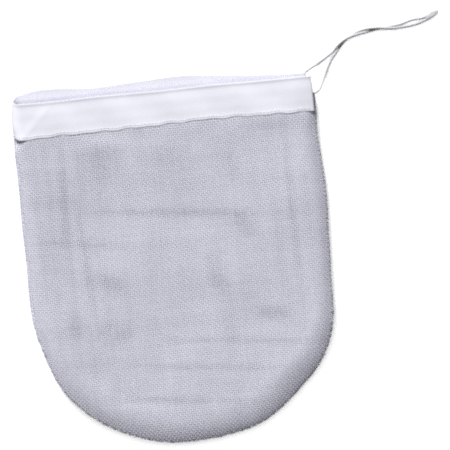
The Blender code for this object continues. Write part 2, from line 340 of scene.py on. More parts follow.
def strand_route(side, steps=22):
    """One strand of the pair: it winds round the middle line, then opens into the eye."""
    points = smooth_line([(x, y, 0.0) for x, y in PAIR_ROUTE], 0.001)
    length = sum((b - a).length for a, b in zip(points, points[1:]))
    end = length - TIP_LENGTH - CORD_JOINT_GAP
    eye = end - EYE_LENGTH / 2
    twisted = end - EYE_LENGTH
    half_turns = round(2 * twisted / TWIST_PITCH)
    route = []
    for step in range(steps + 1):
        along = end * step / steps
        place, direction = place_on(points, along / length)
        angle = math.pi * half_turns * min(1.0, along / twisted)
        opened = smooth_step(1 - abs(along - eye) / (EYE_LENGTH / 2))
        offset = STRAND_OFFSET + (EYE_OFFSET - STRAND_OFFSET) * opened
        left = Vector((-direction.y, direction.x, 0.0))
        across = side * offset * math.cos(angle)
        height = CORD / 2 + 1.6 * REST_GAP + STRAND_OFFSET * abs(math.sin(angle)) ** 1.5
        height += side * offset * math.sin(angle)
        route.append(place + left * across + Vector((0, 0, height)))
    return route


front_leg_line = smooth_line([*FRONT_LEG_ROUTE, *strand_route(-1)], CORD_SPACING)
rear_leg_line = smooth_line([*REAR_LEG_ROUTE, *strand_route(1)], CORD_SPACING)


def line_length(points):
    return sum((b - a).length for a, b in zip(points, points[1:]))


print("front leg", round(line_length(front_leg_line), 4), "rear leg", round(line_length(rear_leg_line), 4))

# %% Twist a cord round a line
PLIES = 3
PLY_PITCH = 6.5 * MM
PLY_DEPTH = 0.10
LEG_FULLNESS = 1.1


def cord_mesh(name, line, diameter, material, spacing=0.55 * MM, around=18):
    """A three-ply cord: round, with shallow grooves that wind along it."""
    points = smooth_line(line, spacing)
    places = np.array(points)
    ahead = np.gradient(places, axis=0)
    ahead /= np.linalg.norm(ahead, axis=1)[:, None]
    side = np.cross(ahead, np.array((0.0, 0.0, 1.0)))
    side /= np.linalg.norm(side, axis=1)[:, None]
    up = np.cross(side, ahead)
    travelled = np.arange(len(places)) * spacing
    angle = 2 * np.pi * np.arange(around) / around
    turn = 2 * np.pi * travelled / PLY_PITCH
    lobe = np.abs(np.cos(PLIES / 2 * (angle[None, :] - turn[:, None])))
    radius = diameter / 2 * (1 - PLY_DEPTH + PLY_DEPTH * lobe ** 0.7)
    ring = (
        places[:, None]
        + radius[..., None] * np.cos(angle)[None, :, None] * side[:, None]
        + radius[..., None] * np.sin(angle)[None, :, None] * up[:, None]
    )
    rings = len(places)
    index = np.arange(rings * around).reshape(rings, around)
    nxt = np.roll(index, -1, axis=1)
    quads = np.stack([index[:-1], index[1:], nxt[1:], nxt[:-1]], -1).reshape(-1, 4)
    u0 = np.repeat(travelled[:-1], around)
    u1 = np.repeat(travelled[1:], around)
    v0 = np.tile(np.arange(around) / around, rings - 1)
    v1 = v0 + 1 / around
    along = np.stack([u0, v0, u1, v0, u1, v1, u0, v1], -1).reshape(-1, 4, 2)
    bake = along.copy()
    bake[..., 0] = 0.01 + 0.98 * bake[..., 0] / travelled[-1]
    caps = cap_quads(index)
    quads = np.concatenate([quads, caps])
    pad = np.zeros((len(caps), 4, 2))
    points = ring.reshape(-1, 3)
    along = np.concatenate([along, pad])
    bake = np.concatenate([bake, pad])
    return mesh_piece(name, points, quads, along, bake, material)


def cap_quads(index):
    """Close both ends of a tube, with an even number of sides, with quads across the ring."""
    around = index.shape[1]
    start = list(index[0])
    finish = [index[-1, -k % around] for k in range(around)]
    quads = []
    for loop in (start, finish):
        for k in range(around // 2 - 1):
            quads.append((loop[k], loop[k + 1], loop[around - 2 - k], loop[around - 1 - k]))
    return np.array(quads)


front_leg = cord_mesh("drawstring_front", front_leg_line, LEG_FULLNESS * CORD, cord_yarn)
rear_leg = cord_mesh("drawstring_rear", rear_leg_line, LEG_FULLNESS * CORD, cord_yarn)
print(len(front_leg.data.polygons), "faces in the front leg")

# %% Fuse the ends
TIP_OVERLAP = 1 * MM
TIP_WIDTH = 4.9 * MM
TIP_THICKNESS = 2.4 * MM
TIP_LIFT = 0.2 * MM


def make_tip(name):
    """Both ends melted together: a blunt, flattened lump that tapers and is slightly uneven."""
    points = smooth_line([(x, y, 0.0) for x, y in PAIR_ROUTE], 0.001)
    length = line_length(points)
    start, _ = place_on(points, 1 - (TIP_LENGTH + TIP_OVERLAP) / length)
    middle = (start + points[-1]) / 2
    way = points[-1] - start
    bpy.ops.object.select_all(action="DESELECT")
    bpy.ops.mesh.primitive_uv_sphere_add(
        segments=32, ring_count=24, radius=1.0, rotation=(0, math.pi / 2, 0)
    )
    tip = bpy.context.active_object
    tip.name = name
    bpy.ops.object.transform_apply(location=True, rotation=True, scale=True)
    blunt = tip.modifiers.new("blunt", "CAST")
    blunt.cast_type = "CUBOID"
    blunt.factor = 0.45
    bpy.ops.object.modifier_apply(modifier=blunt.name)
    tip.dimensions = (way.length, TIP_WIDTH, TIP_THICKNESS)
    bpy.ops.object.transform_apply(location=True, rotation=True, scale=True)
    taper = tip.modifiers.new("taper", "SIMPLE_DEFORM")
    taper.deform_method = "TAPER"
    taper.deform_axis = "X"
    taper.factor = -0.35
    bpy.ops.object.modifier_apply(modifier=taper.name)
    lumps = bpy.data.textures.new("lumps", "CLOUDS")
    lumps.noise_scale = 2.2 * MM
    uneven = tip.modifiers.new("uneven", "DISPLACE")
    uneven.texture = lumps
    uneven.strength = 0.5 * MM
    bpy.ops.object.modifier_apply(modifier=uneven.name)
    tip.rotation_euler = (0, 0, math.atan2(way.y, way.x))
    tip.location = (middle.x, middle.y, CORD / 2 + REST_GAP + TIP_LIFT)
    bpy.ops.object.transform_apply(location=True, rotation=True, scale=True)
    bpy.ops.object.shade_smooth()
    tip.data.materials.append(tip_plastic)
    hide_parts("drawstring_tip")
    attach(tip, "drawstring")
    print(name, len(tip.data.polygons), "faces")
    return tip


tip = make_tip("fused_tip")

# %% Hide the CAD legs and attach the cord's legs
for piece, node in ((front_leg, "drawstring_front_leg"), (rear_leg, "drawstring_rear_leg")):
    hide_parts(node)
    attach(piece, "drawstring")

# %% [markdown]
# ## The shape of a panel
# A panel is cut flat and sewn to the other one round its edge, with 5 mm turned inside. Laid
# on the table it is flat in the middle and rolls down to the seam, more gently at the bottom.
# So a point of the flat cut is placed by how far it is from the edge: the surface function
# below measures that along the cloth, so the threads keep their spacing where it rolls over.

# %% The outline and the distance to it
def outline_points(steps=600):
    """The seam line seen from above, from the top right round the bottom to the top left."""
    angle = np.linspace(0, np.pi, steps)
    across = np.cos(angle)
    x = HALF_WIDTH * np.sign(across) * np.abs(across) ** (2 / ROUND_POWER)
    y = ROUND_START - ROUND_LENGTH * np.abs(np.sin(angle)) ** (2 / ROUND_POWER)
    side = np.linspace(HEM_TOP_Y + 0.03, ROUND_START, 120)[:-1]
    right = np.stack([np.full_like(side, HALF_WIDTH), side], -1)
    left = np.stack([np.full_like(side, -HALF_WIDTH), side[::-1]], -1)
    return np.concatenate([right, np.stack([x, y], -1), left])


OUTLINE = outline_points()


def edge_distance(flat, batch=4000):
    """For points of the flat cut: distance inside the seam line, and the nearest seam point."""
    inside = np.zeros(len(flat))
    nearest = np.zeros((len(flat), 2))
    for start in range(0, len(flat), batch):
        part = flat[start:start + batch]
        gap = np.linalg.norm(part[:, None] - OUTLINE[None], axis=2)
        best = gap.argmin(1)
        nearest[start:start + batch] = OUTLINE[best]
        inside[start:start + batch] = gap[np.arange(len(part)), best]
    low = np.clip((ROUND_START - flat[:, 1]) / ROUND_LENGTH, 0, None)
    level = (np.abs(flat[:, 0]) / HALF_WIDTH) ** ROUND_POWER + low ** ROUND_POWER
    return np.where(level < 1, inside, -inside), nearest


print(len(OUTLINE), "points on the seam line")

# %% Roll the cloth over the edge
ROLL_AT_SIDE = 17 * MM
ROLL_AT_BOTTOM = 27 * MM
ALLOWANCE = 5 * MM
SEAM_HALF_GAP = 0.45 * MM
PANEL_RISE = {1: BAG_HEIGHT - SEAM_Z - SEAM_HALF_GAP - 0.45 * MM, -1: SEAM_Z - SEAM_HALF_GAP - 0.55 * MM}
LONGEST_EXTRA = 4 * MM
ROUNDNESS = 0.4


def roll_table(width, rise, steps=120):
    """From the seam up: travel along the cloth, inset and height. The cloth starts steeply,
    as a quarter ellipse does, and then levels off slowly."""
    angle = np.linspace(0, np.pi / 2, steps)
    inset = width * (1 - np.cos(angle))
    height = rise * (ROUNDNESS * np.sin(angle) + (1 - ROUNDNESS) * np.sin(np.pi / 2 * inset / width))
    travel = np.concatenate([[0], np.cumsum(np.hypot(np.diff(inset), np.diff(height)))])
    return travel, inset, height


def roll_over(inside, width, rise, kinds=9):
    """Inset and height on the roll for each point, and how much longer the cloth is than its plan."""
    widths = np.linspace(ROLL_AT_SIDE, ROLL_AT_BOTTOM, kinds)
    place = (width - widths[0]) / (widths[1] - widths[0])
    low = np.clip(place.astype(int), 0, kinds - 2)
    share = place - low
    inset, height, travel, extra = (np.zeros(len(inside)) for _ in range(4))
    for kind in range(kinds):
        table, table_inset, table_height = roll_table(widths[kind], rise)
        weight = np.where(low == kind, 1 - share, np.where(low + 1 == kind, share, 0.0))
        longer = table[-1] - widths[kind]
        inset += weight * np.interp(inside + longer, table, table_inset)
        height += weight * np.interp(inside + longer, table, table_height)
        travel += weight * (inside + longer)
        extra += weight * longer
    return inset, height, travel, extra


WAVER_MIDDLE_Y = -38
EDGE_WAVERS = [
    # where, how wide the change is, and how far out it goes
    (-121, -75, 30, -3.2),
    (127, -32, 28, -1.7),
    (127, 38, 30, 1.5),
    (127, 104, 20, -1.8),
    (-18, -152, 26, 1.6),
    (48, -140, 17, 1.7),
    (88, -112, 24, -1.8),
]


def outline_waver(x, y):
    """The sewn edge is never a perfect curve: it runs a little in here and out there."""
    dx = 0.25 * MM * np.sin(95 * y - 40 * x + 2.0)
    dy = 0.25 * MM * np.sin(101 * x + 66 * y + 0.3)
    for near_x, near_y, width, out in EDGE_WAVERS:
        away = ((x / MM - near_x) ** 2 + (y / MM - near_y) ** 2) / width ** 2
        push = out * MM * np.exp(-away)
        reach = math.hypot(near_x, near_y - WAVER_MIDDLE_Y)
        dx = dx + push * near_x / reach
        dy = dy + push * (near_y - WAVER_MIDDLE_Y) / reach
    return dx, dy


def undulation(x, y, seed):
    """Slow waves of cloth that has been handled, as a height between about -1 and 1."""
    waves = (
        (31, 12, 0.3, 0.34), (-18, 47, 1.9, 0.30), (62, -39, 4.1, 0.22), (23, 81, 2.2, 0.16),
        (-93, 23, 5.0, 0.12), (74, 108, 0.9, 0.07), (-121, 90, 3.3, 0.05),
    )
    total = 0
    for kx, ky, phase, size in waves:
        total = total + size * np.sin(kx * x + ky * y + phase + 2.1 * seed)
    return total


# How high the waves are, and how far they sink, on the front panel and on the rear one.
PANEL_WAVES = {1: (1.1 * MM, 1.2 * MM), -1: (0.12 * MM, 0.12 * MM)}
HEM_HOLD = 14 * MM
CORNER_DIP = np.array([-125.5, 109.5]) * MM
DIP_DEPTH = 3.0 * MM
DIP_REACH = 4.5 * MM


def panel_surface(flat, up, seed, hem_y, hem_z):
    """Places points of the flat cut on the panel. up is 1 for the front, -1 for the rear."""
    inside, nearest = edge_distance(flat)
    bottomness = np.clip((ROUND_START - nearest[:, 1]) / ROUND_LENGTH, 0, 1)
    width = ROLL_AT_SIDE + (ROLL_AT_BOTTOM - ROLL_AT_SIDE) * smooth_step(bottomness)
    inset, height, travel, extra = roll_over(inside, width, PANEL_RISE[up])
    turned = travel < 0
    inset = np.where(turned, -travel, inset)
    height = np.where(turned, 0, height)
    inwards = (flat - nearest) * np.sign(inside)[:, None]
    inwards /= np.maximum(np.linalg.norm(inwards, axis=1), 1e-6)[:, None]
    rolled = inside < width
    plan = np.where(rolled[:, None], nearest + inwards * inset[:, None], flat)
    calm = smooth_step((inside - 0.3 * width) / (0.9 * width))
    wave = undulation(plan[:, 0], plan[:, 1], seed)
    amplitude, sink = PANEL_WAVES[up]
    z = SEAM_Z + up * (SEAM_HALF_GAP + height - (sink - amplitude * wave) * calm)
    held = smooth_step((plan[:, 1] - hem_y + HEM_HOLD) / HEM_HOLD)
    z = z + (hem_z(plan[:, 0]) - z) * held * smooth_step(inside / ROLL_AT_SIDE)
    if up > 0:
        corner = np.linalg.norm(plan - CORNER_DIP, axis=1)
        z = z - DIP_DEPTH * np.exp(-(corner / DIP_REACH) ** 2)
    dx, dy = outline_waver(plan[:, 0], plan[:, 1])
    free = 1 - held
    return np.column_stack([plan[:, 0] + dx * free, plan[:, 1] + dy * free, z]), travel


# %% [markdown]
# ## Where the hem lies
# The hem is a strip of denser white cloth, folded double into a tunnel. Its front run lies on
# top. Its rear run lies underneath and reaches 11 mm farther up the bag, so that it shows as a
# narrow strip. The next cell places any point of it, given how far it is along the mouth, across
# the band and from the middle layer. At the left end the strip turns back under itself, and a
# slanting crease runs from there.

# %% The hem's middle layer
HEM_HALF = HEM_DEPTH / 2
FRONT_END_X = 125.5 * MM
REAR_END_X = 119.5 * MM
FRONT_HEM_Z = BAG_HEIGHT - 2.5 * MM
REAR_HEM_Z = 2.5 * MM
TURN_RADIUS = (FRONT_HEM_Z - REAR_HEM_Z) / 2
TURN_X = TURN_RADIUS + 2.5 * MM - HALF_WIDTH
TURN_LENGTH = math.pi * TURN_RADIUS
FRONT_RUN = FRONT_END_X - TURN_X
REAR_RUN = REAR_END_X - TURN_X
HEM_LENGTH = FRONT_RUN + TURN_LENGTH + REAR_RUN
FRONT_LIP = [(-127, 0.2), (-95, -0.4), (-50, 0.2), (-5, -0.2), (40, 0.3), (85, -0.2), (126, 0.0)]
FRONT_EDGE = [(-127, -2.2), (-95, -0.6), (-45, -0.3), (0, 0.3), (38, 1.1), (80, 0.2), (126, -0.6)]
REAR_LIP = [
    (-127, -6.0), (-122, -3.6), (-106, -0.2), (-88, 0.0), (-56, -2.4), (-20, -0.8), (11, 0.4),
    (30, -0.5), (61, -3.7), (95, -6.2), (112, -7.0), (126, -7.4),
]
CREASE_START = np.array([-118.5, 112.0]) * MM
CREASE_WAY = np.array([0.709, 0.705])
CREASE_LENGTH = 24 * MM
CREASE_FADE = 16 * MM
CREASE_STEP = 0.3 * MM
CREASE_DIP = 0.12 * MM
END_REACH = 20 * MM
RIGHT_ROLL_X = 108 * MM
RIGHT_ROLL_WIDTH = 18.5 * MM
RIGHT_DROP = 3.4 * MM
REAR_LIFT_X = 97 * MM
REAR_LIFT_WIDTH = 17 * MM
REAR_LIFT = 2.0 * MM
LEFT_TUCK = 1.3 * MM
LIP_RISE = 0.4 * MM
PANEL_ENTRY = -0.9
PANEL_OFF_MIDDLE = 0.8 * MM


def drawn(points, x):
    """A smooth profile through a few points given in millimetres."""
    table = np.array(smooth_line([(a, b, 0) for a, b in points], 2.0))
    return np.interp(x / MM, table[:, 0], table[:, 1]) * MM


def hem_point(along, across, off):
    """A point of the hem, from the front run's right end. across goes from -1 at the sewn edge
    to 1 at the fold, and off is measured from the middle layer, outwards."""
    along, across, off = np.broadcast_arrays(along, across, off)
    turn = np.clip((along - FRONT_RUN) / TURN_LENGTH, 0, 1)
    angle = np.pi * turn
    x = np.where(turn <= 0, FRONT_END_X - along, TURN_X)
    x = np.where(turn >= 1, REAR_END_X - (HEM_LENGTH - along), x)
    behind = smooth_step(turn)
    front_low = HEM_LOW_Y + drawn(FRONT_EDGE, x)
    front_top = FRONT_LIP_Y + drawn(FRONT_LIP, x)
    rear_top = HEM_TOP_Y + drawn(REAR_LIP, x)
    low = front_low + (rear_top - HEM_DEPTH - front_low) * behind
    top = front_top + (rear_top - front_top) * behind
    ripple = 0.35 * np.sin(x / (2.9 * MM)) + 0.3 * np.sin(x / (4.7 * MM) + 1.0)
    low = low + ripple * MM * (1 - behind)
    y = low + (top - low) * (across + 1) / 2
    to_end = np.minimum(along, HEM_LENGTH - along)
    near_end = 1 - smooth_step(to_end / END_REACH)
    front = turn < 0.5
    slant = np.where(front, 1.2 * smooth_step((across - 0.5) / 0.5), -2.0 * across) * MM
    x = x - slant * near_end
    rolled = np.clip((x - RIGHT_ROLL_X) / RIGHT_ROLL_WIDTH, 0, 0.985)
    sunk = 0.6 * (1 - np.sqrt(1 - rolled ** 2)) + 0.4 * rolled ** 1.6
    lifted = smooth_step((x - REAR_LIFT_X) / REAR_LIFT_WIDTH)
    side = np.where(front, -RIGHT_DROP * sunk, REAR_LIFT * lifted)
    normal_x = -np.sin(angle)
    x = x - LEFT_TUCK * np.sin(angle) * np.exp(-((across + 0.3) / 0.6) ** 2)
    normal_z = np.cos(angle)
    x = x + (TURN_RADIUS + off) * normal_x
    z = SEAM_Z + (TURN_RADIUS + off) * normal_z + side
    from_start = np.stack([x, y], -1) - CREASE_START
    beside = from_start @ np.array([-CREASE_WAY[1], CREASE_WAY[0]])
    fading = 1 - smooth_step((from_start @ CREASE_WAY - CREASE_LENGTH) / CREASE_FADE)
    lowered = CREASE_STEP * smooth_step(beside / (7 * MM)) - CREASE_DIP * np.exp(-(beside / (1.4 * MM)) ** 2)
    z = z - lowered * fading * (1 - smooth_step(2 * turn))
    z = z + (1 - behind) * LIP_RISE * smooth_step((across - 0.8) / 0.19)
    above = np.clip((y - FRONT_LIP_Y - drawn(FRONT_LIP, x)) / MM, 0, 12)
    step_up = smooth_step(above / 3.5) * (0.5 - 0.3 * x / HALF_WIDTH)
    z = z + behind * MM * (step_up + 0.08 * above)
    waves = 0.35 * np.sin(x / (17 * MM) + 1.0) + 0.25 * np.sin(x / (8.3 * MM) + 2 * across)
    waves = waves * (1 - 0.6 * behind)
    return np.stack([x, y, z + waves * MM * np.cos(angle)], -1)


def hem_middle_z(front):
    """The height at which a panel enters the hem's sewn edge, as a function of x."""
    if front:
        x = np.linspace(0, FRONT_RUN, 200)
    else:
        x = np.linspace(FRONT_RUN + TURN_LENGTH, HEM_LENGTH, 200)
    line = hem_point(x, PANEL_ENTRY, PANEL_OFF_MIDDLE)
    order = line[:, 0].argsort()
    return lambda place: np.interp(place, line[order, 0], line[order, 2])


print("the hem is", round(HEM_LENGTH, 4), "m long")

# %% [markdown]
# ## Weaving
# The weave is real: every warp and weft thread is a tube with one ring at each crossing, and
# goes over and under in turn. Cloth as soft as this is never in true, so the crossings drift.
# Two such layers show slow dark fringes. Here most of that is set by a given list: the front
# panel's threads are thinner along each listed fringe, so that more of the dark between the layers shows.

# %% Weave one panel
THREAD_WIDTH = 0.90 * MM
THREAD_THICKNESS = 0.40 * MM
THREAD_FULLNESS = 1.12
FRINGE_THINNING = 0.36
FRINGES = [
    # middle x and y, half length, half width, angle in degrees, and depth
    (0, 39, 75, 3.5, -6, 0.8),
    (-80, 20, 35, 3.5, -6, 0.7),
    (42, -72, 65, 3.0, -6, 0.7),
    (25, -93, 55, 3.0, -6, 0.75),
    (-4, -118, 70, 3.0, -6, 0.75),
    (-91, 50, 45, 4.5, 88, 0.7),
    (-76, 0, 60, 3.0, 95, 0.5),
    (98, 40, 70, 2.5, 90, 0.5),
    (58, 23, 12, 7, 120, 0.8),
    (29, -14, 17, 8, 100, 0.9),
    (1, 82, 20, 15, 0, 0.6),
    (-57, 86, 18, 16, 0, 0.6),
    (51, 74, 16, 8, 100, 0.5),
    (-59, -14, 14, 7, -20, 0.8),
    (-90, -47, 9, 12, 0, 0.8),
    (-57, -56, 14, 10, -15, 0.8),
    (74, -52, 14, 6, -6, 0.8),
]


def fringe_depth(x, y):
    """How much thinner the threads are, from 0 to about 1: most along each fringe in the list,
    with a faint even plaid between them."""
    across = np.abs(x / MM - 5) ** 1.4 / 118 + 0.15 * np.sin(21 * y + 0.5)
    down = np.abs(y / MM + 22 + 0.1 * x / MM) ** 1.3 / 112 + 0.15 * np.sin(24 * x + 1.0)
    even = 0.15 * np.cos(2 * np.pi * across) + 0.15 * np.cos(2 * np.pi * down)
    step = 0.2 + even * (0.5 + 0.5 * np.sin(38 * x - 17 * y + 0.6) * np.sin(29 * y + 22 * x + 1.8))
    for middle_x, middle_y, half_length, half_width, angle, depth in FRINGES:
        turn = math.radians(angle)
        dx = x / MM - middle_x
        dy = y / MM - middle_y
        along = dx * math.cos(turn) + dy * math.sin(turn)
        aside = dy * math.cos(turn) - dx * math.sin(turn)
        step = step + depth * np.exp(-(along / half_length) ** 4 - (aside / half_width) ** 2)
    return np.clip(step, 0, 1.2)


def front_drift(x, y):
    """How far a crossing has slipped from its place in the loom's straight grid."""
    dx = 0.8 * np.sin(23 * y + 11 * x) + 0.4 * np.sin(61 * y - 24 * x)
    dy = 0.8 * np.sin(19 * x - 13 * y) + 0.4 * np.sin(57 * x + 31 * y)
    return dx * MM, dy * MM


def rear_drift(x, y):
    """The same for the rear panel, which is stretched a little as well."""
    dx = 22 * x + 2.4 * np.sin(30 * x + 9 * y + 0.6) + 0.8 * np.sin(38 * y - 20 * x + 1.0)
    dy = 26 * y + 1.9 * np.sin(33 * y - 8 * x + 2.2) + 1.0 * np.sin(34 * x + 12 * y)
    return dx * MM, dy * MM


STILL_EDGE = 16 * MM
STILL_TOP = 12 * MM


def crossings(top, up, seed, drift, hem_y, hem_z):
    """The grid of crossings: their places, normals and which of them are in the panel."""
    reach = HALF_WIDTH + LONGEST_EXTRA + ALLOWANCE
    bottom = BAG_BOTTOM - LONGEST_EXTRA - ALLOWANCE
    xs = np.arange(-math.floor(reach / PITCH), math.floor(reach / PITCH) + 1) * PITCH
    ys = np.arange(math.floor((top - bottom) / PITCH) + 1) * PITCH + bottom
    grid_x, grid_y = np.meshgrid(xs, ys, indexing="ij")
    flat = np.stack([grid_x, grid_y], -1).reshape(-1, 2)
    inside, _ = edge_distance(flat)
    inside = inside.reshape(grid_x.shape)
    calm = smooth_step(inside / STILL_EDGE) * smooth_step((top - grid_y) / STILL_TOP)
    slip_x, slip_y = drift(grid_x, grid_y)
    moved = np.stack([grid_x + slip_x * calm, grid_y + slip_y * calm], -1).reshape(-1, 2)
    place, travel = panel_surface(moved, up, seed, hem_y, hem_z)
    place = place.reshape(*grid_x.shape, 3)
    to_right = np.gradient(place, axis=0)
    to_top = np.gradient(place, axis=1)
    normal = np.cross(to_right, to_top)
    normal /= np.maximum(np.linalg.norm(normal, axis=2), 1e-9)[..., None]
    return place, to_right, to_top, normal, travel.reshape(grid_x.shape) > -ALLOWANCE


def weave_threads(name, place, ahead, normal, inside, lift, material):
    """Tubes along axis 1 of the grid, one ring of four corners at each crossing."""
    ahead = ahead / np.maximum(np.linalg.norm(ahead, axis=2), 1e-9)[..., None]
    side = np.cross(ahead, normal)
    side /= np.maximum(np.linalg.norm(side, axis=2), 1e-9)[..., None]
    rows, count = inside.shape
    rng = np.random.default_rng(7)
    uneven = 0.05 * rng.standard_normal((rows, 1)) + 0.04 * rng.standard_normal((rows, count))
    thinner = FRINGE_THINNING * fringe_depth(place[..., 0], place[..., 1])
    width = THREAD_WIDTH * (THREAD_FULLNESS - thinner + uneven)
    middle = place + lift[..., None] * normal
    corners = []
    for across, above in ((-1, 1), (1, 1), (1, -1), (-1, -1)):
        corner = middle + across * width[..., None] / 2 * side
        corners.append(corner + above * THREAD_THICKNESS / 2 * normal)
    ring = np.stack(corners, 2)
    index = np.full(inside.shape, -1)
    index[inside] = np.arange(inside.sum())
    points = ring[inside].reshape(-1, 3)
    row, col = np.nonzero(inside[:, :-1] & inside[:, 1:])
    first = index[row, col] * 4
    second = index[row, col + 1] * 4
    quads, along, bake = [], [], []
    u0, u1 = col * PITCH, (col + 1) * PITCH
    s0, s1 = 0.01 + 0.98 * col / count, 0.01 + 0.98 * (col + 1) / count
    for k in range(4):
        n = (k + 1) % 4
        quads.append(np.stack([first + k, first + n, second + n, second + k], -1))
        v0 = np.full(len(row), k / 4)
        along.append(np.stack([u0, v0, u0, v0 + 0.25, u1, v0 + 0.25, u1, v0], -1))
        b0 = (row + 0.06 + 0.22 * k) / rows
        b1 = b0 + 0.22 / rows
        bake.append(np.stack([s0, b0, s0, b1, s1, b1, s1, b0], -1))
    starts = inside & ~np.pad(inside, ((0, 0), (1, 0)))[:, :-1]
    stops = inside & ~np.pad(inside, ((0, 0), (0, 1)))[:, 1:]
    for mask, order in ((starts, (3, 2, 1, 0)), (stops, (0, 1, 2, 3))):
        row, col = np.nonzero(mask)
        first = index[row, col] * 4
        quads.append(np.stack([first + k for k in order], -1))
        spot = np.stack([col * PITCH, np.zeros(len(row))], -1)
        along.append(np.tile(spot, (1, 4)))
        spot = np.stack([0.01 + 0.98 * col / count, (row + 0.5) / rows], -1)
        bake.append(np.tile(spot, (1, 4)) + np.array([0, 0, 0, 1e-3, 1e-3, 1e-3, 1e-3, 0]))
    quads = np.concatenate(quads)
    along = np.concatenate(along).reshape(-1, 4, 2)
    bake = np.concatenate(bake).reshape(-1, 4, 2)
    piece = mesh_piece(name, points, quads, along, bake, material)
    ends = np.empty(2 * len(piece.data.edges), np.int32)
    piece.data.edges.foreach_get("vertices", ends)
    lengthways = ends[0::2] % 4 == ends[1::2] % 4
    sharp = piece.data.attributes.new("sharp_edge", "BOOLEAN", "EDGE")
    sharp.data.foreach_set("value", lengthways)
    return piece


def swap(grid):
    return np.swapaxes(grid, 0, 1)


def weave_panel(name, top, up, seed, drift, hem_y, hem_z):
    """Both sets of threads of one panel, up to the height top, and the area of its cloth."""
    place, to_right, to_top, normal, inside = crossings(top, up, seed, drift, hem_y, hem_z)
    rows, cols = np.indices(inside.shape)
    over = np.where((rows + cols) % 2 == 0, 0.5, -0.5) * THREAD_THICKNESS
    warp = weave_threads(f"{name}_warp", place, to_top, normal, inside, over, mesh_yarn)
    weft = weave_threads(
        f"{name}_weft", swap(place), swap(to_right), swap(normal), swap(inside), -swap(over), mesh_yarn
    )
    area = float(inside.sum()) * PITCH ** 2
    triangles = [2 * len(piece.data.polygons) for piece in (warp, weft)]
    print(name, "warp and weft triangles:", triangles, "area", round(area, 4), "m2")
    return warp, weft, area


TUCK = 2.5 * MM
REAR_TUCK = 11 * MM
REAR_EDGE_Y = HEM_TOP_Y - HEM_DEPTH - 8 * MM
front_cloth = weave_panel(
    "front_mesh", HEM_LOW_Y + TUCK, 1, 0.0, front_drift, HEM_LOW_Y, hem_middle_z(True)
)
rear_cloth = weave_panel(
    "rear_mesh", REAR_EDGE_Y + REAR_TUCK, -1, 1.3, rear_drift, REAR_EDGE_Y, hem_middle_z(False)
)


def gather(piece):
    """Bakes the piece's placement into its mesh."""
    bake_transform(piece)


def attach_panel(warp, weft, area, node):
    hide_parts(node)
    gather(warp)
    gather(weft)


attach_panel(*front_cloth, "front_panel")
attach_panel(*rear_cloth, "rear_panel")

# %% [markdown]
# ## The hem
# The tunnel is one folded strip. Its section is a flat loop: thin where it is sewn down,
# fuller where the cord lies in it, with a soft ridge on each side of the cord. The section is
# carried along the mouth in small steps, and then given the thickness of its cloth.

# %% Build the tunnel
HEM_CLOTH = 0.4 * MM
SEWN_HALF = 0.5 * MM
FULL_HALF = 1.75 * MM
PRESSED_BY = 1.2 * MM
LEVELLED = 0.8
FOLD_ROUND = 0.2 * MM
EDGE_ROUND = 0.4 * MM
PUCKER = 0.05 * MM
PUCKER_LENGTH = 4.4 * MM
STITCH_ACROSS = -0.84


def hem_half_thickness(across, along):
    """Half the tunnel's thickness across the band, with puckers at the stitches."""
    v = across * HEM_HALF
    fold = np.clip((v - HEM_HALF + FOLD_ROUND) / FOLD_ROUND, 0, 1)
    ridges = 0.15 * np.exp(-((across - 0.35) / 0.26) ** 2) + 0.15 * np.exp(-((across + 0.42) / 0.22) ** 2)
    half = SEWN_HALF + (FULL_HALF - SEWN_HALF + ridges * MM) * opening(across)
    half = half - PRESSED_BY * pressed(across, along)
    pucker = PUCKER * np.sin(2 * np.pi * along / PUCKER_LENGTH)
    half = half + pucker * np.exp(-((across - STITCH_ACROSS - 0.12) / 0.16) ** 2)
    edge = np.clip((-v - HEM_HALF + EDGE_ROUND) / EDGE_ROUND, 0, 1)
    return half * np.sqrt(1 - fold ** 2 * 0.995) * np.sqrt(1 - edge ** 2 * 0.96)


def hem_wall(along, across, side):
    """A point of the outer wall (side 1) or of the inner one (side -1). Of both walls, the one
    seen from above lies level, and the other one takes up the changes of thickness."""
    half = hem_half_thickness(across, along)
    level = LEVELLED * (FULL_HALF - SEWN_HALF) * (1 - opening(across))
    facing = np.cos(np.pi * np.clip((along - FRONT_RUN) / TURN_LENGTH, 0, 1))
    level = level + facing * PRESSED_BY * pressed(across, along)
    return hem_point(along, across, half * side + level)


def pressed(across, along):
    """The fold is pressed thinner than the tunnel, up to 1 at the fold itself, but not at the
    two open ends, where the cord holds it open."""
    to_end = np.minimum(along, HEM_LENGTH - along)
    return smooth_step((across - 0.65) / 0.32) * smooth_step((to_end - 6 * MM) / (16 * MM))


def opening(across):
    """How far the tunnel has opened between its sewn edge, 0, and its full thickness, 1."""
    return smooth_step((across - STITCH_ACROSS - 0.04) / 0.85)


def hem_section(steps=26):
    """Positions across the band, out along the outer side and back along the inner one."""
    share = np.linspace(0, np.pi, steps)
    across = -np.cos(share)
    across = np.sign(across) * np.abs(across) ** 0.9
    outer = np.ones(steps)
    return np.concatenate([across, across[-2:0:-1]]), np.concatenate([outer, -outer[-2:0:-1]])


